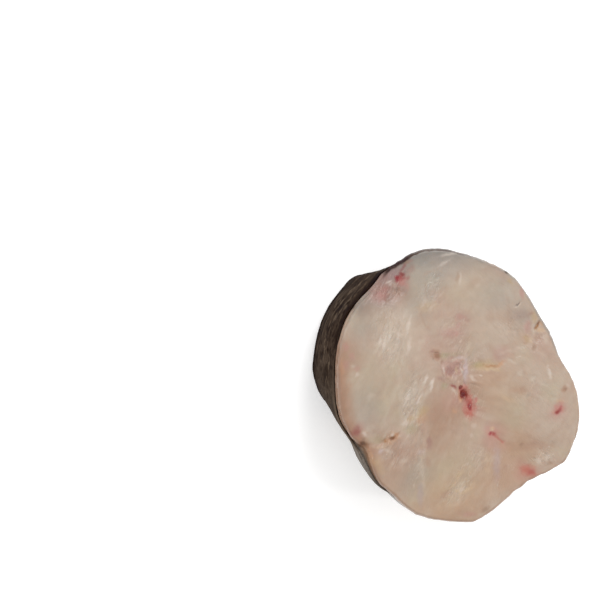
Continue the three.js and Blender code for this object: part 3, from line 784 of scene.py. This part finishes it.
def makeFlesh():
    rings, toEdge, toLip, bearing = fleshRings()
    upper = ease(30.0, 31.5, rings[..., 2])
    rings[..., 2] += upper * cutRelief(rings) * (0.5 + 0.5 * ease(0, 2, toEdge))
    flat = flattened(rings)
    cross = ease(6, 22, flat[..., 0] - 0.35 * flat[..., 1])

    # the rim: patchy tan muscle under the skin of one flank, greyer flesh along the back, and all round a
    # thin darker line that is painted shade where the edge rounds down
    ledge, flank, flankEdge = (between(bearing, *flesh[name]) for name in ("ledge", "flank", "flankEdge"))
    middle, spread = flesh["bandMiddle"]
    width = 0.8 + flesh["bandWidth"] * bell(awayFrom(bearing, middle), spread)
    patchy = np.maximum(toLip, 0) / width + 0.45 * cloud(rings, 3, 201, 3)
    line = np.maximum(toLip, 0) + 0.25 * cloud(rings, 2, 205, 2)
    upperSide = ease(80, 50, awayFrom(bearing, 35))
    back = bell(awayFrom(bearing, 66), 20)
    colour = layered(groundColour(rings), [
        ("peach", 0.6 * ease(1.4, 0.3, patchy) * flank),
        ("bark", 0.45 * ease(0.5, 0, patchy) * flank),
        ("clay", 0.35 * ease(6.5, 1, line) * flankEdge),
        # painted shade: a thin darker line where the edge rounds down, greyish on the upper side and
        # brownish elsewhere
        ("slate", 0.7 * ease(1.4, 0.1, line) * upperSide),
        ("bark", 0.45 * ease(1.2, 0.1, line) * (1 - upperSide)),
        ("slate", 0.75 * ease(7.5, 0.5, line) * back)])
    colour, matt = markedColour(colour, rings)

    # the black line along the back, as strong as the skin is there, and the side that the lip turns to
    strong = 0.5 * ease(40, 54, bearing) + 0.5 * ease(66, 76, bearing)
    border = toEdge + 0.35 * cloud(rings, 1.6, 207, 2)
    border = border / (1 + 0.7 * bell(awayFrom(bearing, 80), 5))
    border = ease(1, 0.5, border) * ease(88, 83, bearing) * strong
    colour = layered(colour, [
        ("mauve", 0.5 * ease(31, 30.4, rings[..., 2]) * (1 - ledge)),
        ("black", 0.95 * border),
        ("slate", ease(-0.1, -0.4, toLip) * ledge)])
    values = {"torn": tornness(flat) * upper, "cross": cross, "matt": np.maximum(matt, border)}
    piece = gridMesh("fleshSteak", rings, True, values)
    paintPiece(piece, colour, stage["veil"])
    return piece


def makeRawFlesh():
    # The painted tones with fibres that turn round with cross, and thin pale threads where the cut is torn,
    # painted bright as wet glints. Its relief is the fibres', deeper where it is torn, under a wet coat
    # that blood and cracks lack.
    f = Finish("rawFlesh", Roughness=0.36, IOR=1.38, Coat_Roughness=0.07, Coat_IOR=1.33,
               Subsurface_Weight=0.2, Subsurface_Scale=0.002, Subsurface_Radius=(1.0, 0.55, 0.35))
    torn, cross = f.painted("torn"), f.painted("cross")
    fibres = f.noise(0.9, 4, (3.6, 1, 1), 28, 0.6, 0.6)
    crossFibres = f.noise(0.9, 4, (3.0, 1, 1), 100, 0.6, 0.6)
    fibres = f.math("ADD", f.math("MULTIPLY", fibres, f.math("SUBTRACT", 1.0, cross)),
                    f.math("MULTIPLY", crossFibres, cross))
    speckle = f.ranged(f.noise(2.2, 3), 0.3, 0.7, (0.97, 1.03))
    colour = f.blend(1.0, f.painted("tone", "Color"), speckle, "MULTIPLY")
    # lighter on the fibres' ridges and darker in their hollows, the relief that the bump gives: partly the
    # fibres' pale colour, partly painted shade in the hollows
    shown = f.math("ADD", f.math("MULTIPLY", torn, 0.4), 0.06)
    strand = f.math("MULTIPLY", f.math("SUBTRACT", fibres, 0.5), shown)
    colour = f.blend(1.0, colour, f.math("ADD", strand, 1.0), "MULTIPLY")
    # pale threads painted bright as wet glints on the torn flesh
    glintingThreads = f.ranged(f.noise(0.75, 2, (4.5, 1, 1), 24, 0.5, 0.9), 0.6, 0.72)
    crossGlintingThreads = f.ranged(f.noise(0.75, 2, (4.5, 1, 1), -62, 0.5, 0.9), 0.64, 0.76)
    glintingThreads = f.math("MAXIMUM", glintingThreads, f.math("MULTIPLY", crossGlintingThreads, 0.6))
    glintingThreads = f.math("MULTIPLY", glintingThreads, f.math("MULTIPLY", torn, 0.5))
    depth = f.math("ADD", f.math("MULTIPLY", torn, 0.9), 0.16)
    relief = f.bump(f.math("MULTIPLY", fibres, depth), 1.1, Normal=f.bump(f.noise(2.6, 2), 0.10))
    f.feed(f.shader, {
        "Base Color": f.blend(glintingThreads, colour, paint(*tones["threadGlint"])), "Normal": relief,
        "Coat Normal": relief, "Coat Weight": f.ranged(f.painted("matt"), 0, 1, (0.7, 0.0))})
    return f


fleshPiece = makeFlesh()
rawFlesh = makeRawFlesh()
rawFlesh.wear(fleshPiece)
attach(fleshPiece, "root")
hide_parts("flesh")


# the skin

skin = {
    "around": 720,
    "rows": 76,
    "thickness": 1.0,
    "edgeThickness": 0.3,       # mm, at its upper edge
    "above": 0.2,               # mm by which it passes the highest of its levels...
    "below": 1.5,               # ...and the lowest
    "inward": 0.1,              # mm by which its outer side lies inside its solid, under the scales
    "scaleSize": 2.4,           # mm between scales round the steak
    "scaleRow": 1.6,            # mm between rows along the fish
    "scaleLift": 0.05,          # mm, how far a scale's free edge stands up
    "edgeJag": 0.35,            # mm, how uneven its upper edge is
    "wave": 0.25,               # mm, how uneven its outer side is
    "veil": 0.008,              # the skin mirrors less of the sky than the flesh
    "bulge": (187, 7, 1.3),     # bearing, width in degrees and mm of a place where it stands out
    "paler": (158, 9),          # bearing and width in degrees of a browner stretch of its upper border
    "tones": {
        "back": (70, 57, 48), "dark": (36, 26, 21), "fleck": (106, 91, 77), "char": (74, 63, 54),
        "moss": (112, 97, 83), "silver": (132, 124, 116), "belly": (190, 178, 163), "cut": (80, 67, 56)},
}


def scaleRelief(arc, level, turnLength):
    # Overlapping scales: each is a round leaf that lifts towards its free lower edge, and the highest of
    # the four leaves round a point shows.
    columns = round(turnLength / skin["scaleSize"])
    pitch = turnLength / columns
    height = np.zeros(arc.shape)
    first = np.floor(level / skin["scaleRow"])
    for step in (0, 1, 2, 3):
        row = first + step
        shift = (row % 2) * 0.5
        u = (arc / pitch + shift + 0.12 * np.sin(7.3 * row + 4 * math.pi * arc / turnLength)) % 1 - 0.5
        v = row - level / skin["scaleRow"]        # how far the leaf's root is above the point
        edge = 2.2 * np.sqrt(np.clip(1 - (u / 0.62) ** 2, 0, 1))
        height = np.maximum(height, np.where(v < edge, v / 2.2, 0))
    return height


def makeSkin():
    bearing = bearings(skin["around"])
    wall = polar(wallRadius(bearing, 16.0), bearing)
    step = np.linalg.norm(np.roll(wall, -1, 0) - wall, axis=-1)
    arc = np.cumsum(step) - step
    rimPoints = raised(polar(meanRadius, bearing), 0)
    jag = skin["edgeJag"] * (0.6 * cloud(rimPoints, 4, 301, 2) + 0.4 * cloud(rimPoints, 1.2, 302))
    top = steak["skinLevels"][-1] + skin["above"] + jag
    bottom = steak["skinLevels"][0] - skin["below"] + 0.5 * jag
    middle, wide, size = skin["bulge"]
    bulge = bell(awayFrom(bearing, middle), wide)
    edgeThick = skin["edgeThickness"]
    rings, relief = [], []
    for share in np.linspace(0, 1, skin["rows"]):       # up the outer side
        level = bottom + (top - bottom) * share
        lift = scaleRelief(arc, level, step.sum())
        places = raised(polar(wallRadius(bearing, level), bearing), level)
        dents = skin["wave"] * (cloud(places, 11, 311, 2) + 0.6 * cloud(places, 2.2, 313, 2))
        radius = wallRadius(bearing, level) + skin["scaleLift"] * lift + (dents + size * bulge)
        rings.append(raised(polar(radius - skin["inward"], bearing), level))
        relief.append(lift)
    for share in np.linspace(1, 0, 7):                  # down the inner side, from a thin upper edge
        level = bottom + (top - bottom) * share
        thick = edgeThick + (skin["thickness"] - edgeThick) * ease(0, 2.5, top - level)
        rings.append(raised(polar(wallRadius(bearing, level) - thick, bearing), level))
        relief.append(np.zeros(len(bearing)))
    rings, relief = np.array(rings), np.array(relief)
    fromBack = awayFrom(bearing, steak["backBearing"]) + 6 * cloud(rings, 7, 321, 3)
    fromTop, fromBottom = top - rings[..., 2], rings[..., 2] - bottom
    around = np.stack(np.broadcast_arrays(arc, rings[..., 2], 0 * arc), -1)     # the skin laid flat

    def streaks(long, high, seed):
        return cloud(around, (long, high, 1), seed, 3)

    uneven = 2 * streaks(4, 3, 353)
    paler, paleWidth = skin["paler"]
    colour = layered(np.broadcast_to(np.array(skin["tones"]["back"], float), rings.shape), [
        ("dark", ease(-0.2, 0.6, streaks(5, 3, 331))),
        ("fleck", 0.9 * ease(0, 0.5, streaks(3.6, 1.5, 341))),
        ("dark", 0.85 * ease(0, 0.4, streaks(1.9, 1.1, 347))),
        ("char", ease(38, 66, fromBack) * (0.7 + 0.3 * streaks(3, 3, 345))),
        ("fleck", 0.4 * ease(0.1, 0.6, streaks(2.2, 1.8, 351))),
        # painted shade: the band darker towards its upper border near the back and towards its lower
        # border, where it curves away from the light
        ("dark", 0.85 * ease(6.5, 1, fromTop + uneven) * ease(50, 25, fromBack)),
        ("dark", 0.75 * ease(6.5, 1.5, fromBottom + uneven)),
        ("moss", ease(66, 86, fromBack + 8 * streaks(6, 5, 357))),
        ("silver", ease(82, 94, fromBack + 6 * streaks(4, 3, 355))),
        ("belly", ease(112, 150, fromBack)),
        ("back", 0.35 * ease(0.15, 0.8, streaks(2.5, 1.2, 361))),
        ("dark", 0.14 * ease(0.6, 1, relief) * ease(-0.4, 0.6, streaks(8, 6, 363))),
        ("moss", 0.95 * ease(5, 0.5, fromTop) * bell(awayFrom(bearing, paler), paleWidth)),
        ("cut", 0.6 * ease(0.9, 0.1, fromTop) * ease(20, 50, fromBack) * (1 - bulge))], skin["tones"])
    piece = gridMesh("skinBand", rings, True, {"gloss": ease(95, 130, fromBack)})
    paintPiece(piece, colour, skin["veil"])
    return piece


def makeWetSkin():
    # the painted tones under a fine grain, which is smoother and glossier on the pale belly
    f = Finish("wetSkin", Roughness=0.5, IOR=1.01, Coat_Roughness=0.15, Coat_IOR=1.3)
    gloss = f.painted("gloss")
    grain = f.ranged(f.noise(0.7, 3), 0.3, 0.7, (0.75, 1.25))
    grain = f.blend(f.math("MULTIPLY", gloss, 0.7), grain, (1, 1, 1, 1))
    f.feed(f.shader, {
        "Base Color": f.blend(1.0, f.painted("tone", "Color"), grain, "MULTIPLY"),
        "Normal": f.bump(f.noise(0.6, 3), 0.05), "Coat Weight": f.ranged(gloss, 0, 1, (0.04, 0.5))})
    return f


skinPiece = makeSkin()
makeWetSkin().wear(skinPiece)
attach(skinPiece, "root")
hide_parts("skin")


# the backbone

bone = {
    "around": 240,
    "rings": 60,
    "rimRadius": 3.6,           # mm, the vertebra's bony ring
    "rimHeight": 0.12,
    "coneDepth": 0.5,
    "pits": [                   # canals, measured like the marks: x, y, length, width, turn, depth
        (2.0, -5.0, 3.0, 2.6, 60, 0.5), (2.5, -2.3, 1.3, 1.1, 0, 0.4), (1.9, 13.0, 3.0, 1.8, 60, 0.2)],
}


def makeBackbone():
    bearing = bearings(bone["around"])
    outline = roundCurve(spineRing, bearing)
    upper = np.array([raised(polar(outline * share, bearing, steak["spine"]), steak["faceLevel"])
                      for share in np.linspace(0, 1, bone["rings"] + 1)[1:]])
    flat = flattened(upper)
    away = np.linalg.norm(drifted(upper, 2.2, 421, 0.8)[..., :2] - steak["spine"], axis=-1)
    level = blockHeight(upper) + cutRelief(upper)
    level = level + bone["rimHeight"] * bell(away - bone["rimRadius"], 0.45)
    level = level - bone["coneDepth"] * ease(bone["rimRadius"], 0, away)
    for x, y, length, width, turn, depth in bone["pits"]:
        level = level - depth * oval(drifted(flat, 1.5, 411, 0.25), x, y, length, width, turn, 0.35)
    upper[..., 2] += level + 0.08 * cloud(upper, 0.9, 401, 2)
    side = [raised(polar(outline, bearing, steak["spine"]), level) for level in (28, 16, 3)]
    lower = upper[::-3].copy()
    lower[..., 2] = 0.5
    rings = np.concatenate([upper, side, lower])
    still = np.full(rings.shape[:2], 0.3)
    colour, matt = markedColour(groundColour(rings), rings)
    piece = gridMesh("backboneCut", rings, False, {"torn": still, "cross": still, "matt": matt})
    paintPiece(piece, colour, stage["veil"])
    return piece


backbonePiece = makeBackbone()
rawFlesh.wear(backbonePiece)
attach(backbonePiece, "root")
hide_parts("backbone")


# floor and light

def makeStage():
    half = stage["floorHalf"]
    mesh = bpy.data.meshes.new("floor")
    corners = [(-half, -half, 0), (half, -half, 0), (half, half, 0), (-half, half, 0)]
    mesh.from_pydata(corners, [], [(0, 1, 2, 3)])
    floor = placed("floor", mesh)
    Finish("paleFloor", Base_Color=paint(*stage["floorTone"]), Roughness=0.7,
           Emission_Color=(1, 1, 1, 1), Emission_Strength=stage["floorGlow"]).wear(floor)
    for name, (power, place, size) in stage["lights"].items():
        data = bpy.data.lights.new(name, "AREA")
        data.energy = power
        data.size = size
        light = placed(name, data)
        light.location = place
        light.rotation_euler = (-Vector(place)).to_track_quat("-Z", "Y").to_euler()
    world = bpy.data.worlds.new("sky")
    world.use_nodes = True
    sky = world.node_tree.nodes["Background"].inputs
    sky["Color"].default_value = (1, 1, 1, 1)
    sky["Strength"].default_value = stage["skyStrength"]
    bpy.context.scene.world = world
    bpy.context.scene.view_settings.view_transform = "Standard"


makeStage()
print("stage lit")
